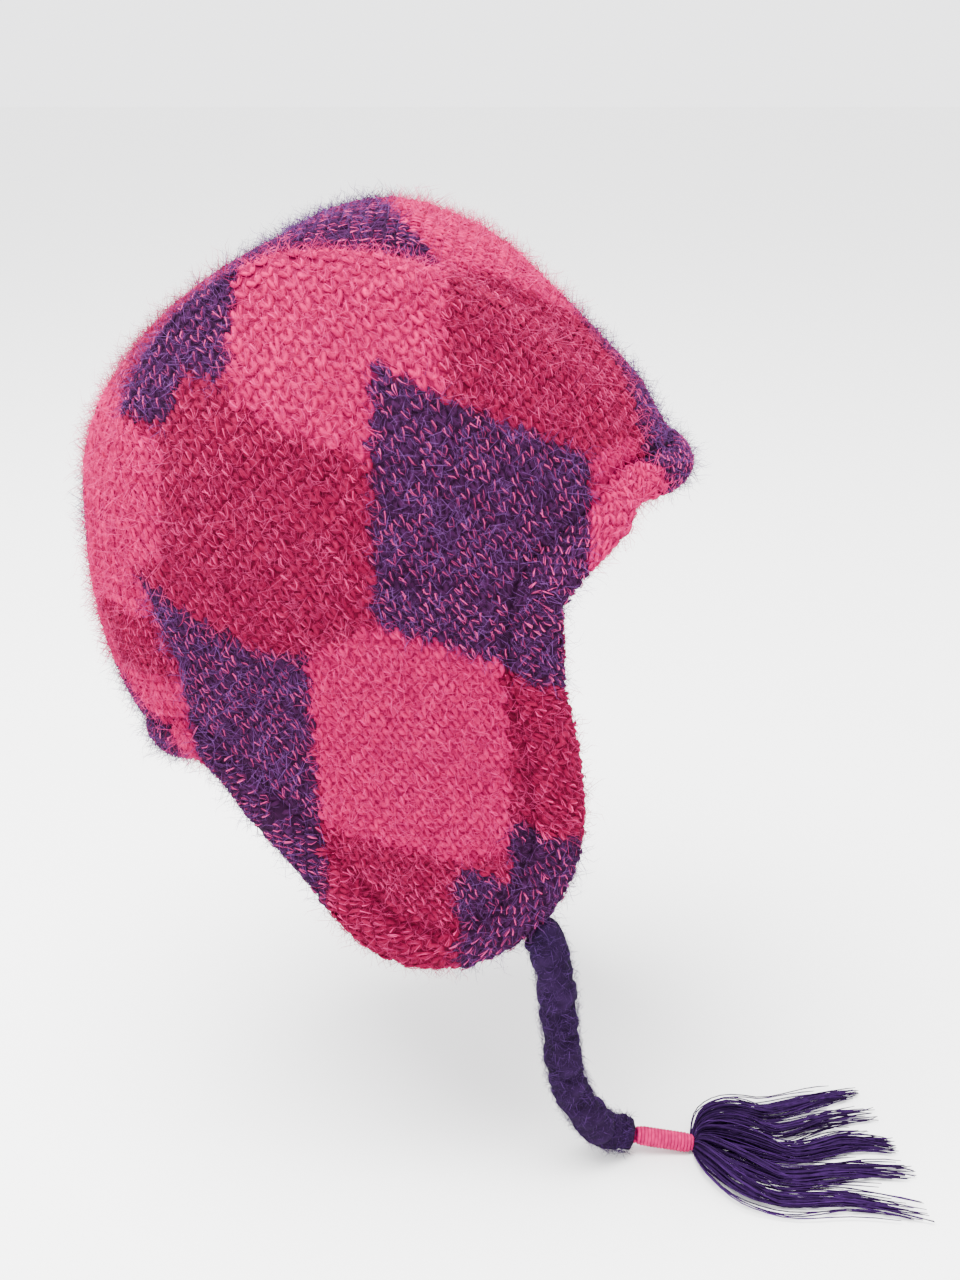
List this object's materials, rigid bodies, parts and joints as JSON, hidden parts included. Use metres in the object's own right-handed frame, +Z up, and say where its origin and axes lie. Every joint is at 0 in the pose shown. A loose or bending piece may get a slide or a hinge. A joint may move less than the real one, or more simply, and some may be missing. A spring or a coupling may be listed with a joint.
{
  "type": "knitted ear-flap hat",
  "caption": "Knitted ear-flap hat with two side panels, a centre strip, a thick hem band with a short peak, and felted ties that end in bound tassels.",
  "frame": {"origin": "middle of the crown's inner face, where the hat rests on the top of the head", "axes": "+Z up, the front of the hat faces -Y, the wearer's right is at -X"},
  "size_m": [0.3174, 0.2872, 0.3216],
  "materials": {
    "side_knit": "brushed wool and mohair knit",
    "centre_knit": "brushed wool and mohair knit",
    "hem_knit": "brushed wool and mohair knit, folded",
    "felt_cord": "felted wool cord",
    "wound_thread": "smooth wound thread",
    "tassel_yarn": "loose wool yarn"
  },
  "bodies": {
    "root": {"side_panel_right": "side_knit", "side_panel_left": "side_knit", "centre_panel": "centre_knit", "edge_band": "hem_knit", "tie_right": "felt_cord", "tie_left": "felt_cord", "binding_right": "wound_thread", "binding_left": "wound_thread", "tassel_right": "tassel_yarn", "tassel_left": "tassel_yarn"}
  },
  "joints": []
}
